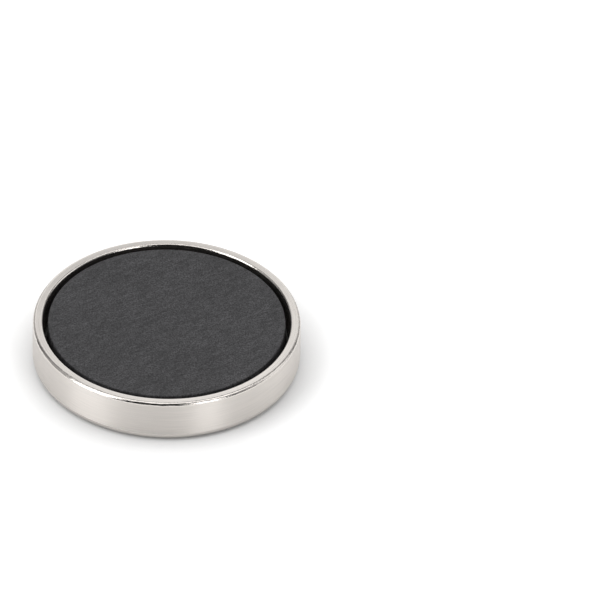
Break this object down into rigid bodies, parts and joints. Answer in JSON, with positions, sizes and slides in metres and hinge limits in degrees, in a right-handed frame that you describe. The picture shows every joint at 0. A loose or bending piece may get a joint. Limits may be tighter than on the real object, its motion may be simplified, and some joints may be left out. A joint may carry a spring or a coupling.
{
  "type": "capped ferrite disc magnet",
  "caption": "Flat round ferrite disc magnet bonded in a drawn nickel-plated steel cup, whose rim meets the steel that it holds to.",
  "frame": {"origin": "centre of the cup's closed back face", "axes": "+Z along the magnet's axis, from the closed back towards the open rim and the ferrite pole face"},
  "size_m": [0.032, 0.032, 0.0056],
  "materials": {
    "nickel_plated_steel": "satin nickel plate, flats finely ground, edges bright",
    "ferrite": "matt ground ceramic",
    "epoxy": "cured adhesive, semi-matt"
  },
  "bodies": {
    "root": {"cup": "nickel_plated_steel", "ferrite_disc": "ferrite", "adhesive_bond": "epoxy"}
  },
  "joints": []
}
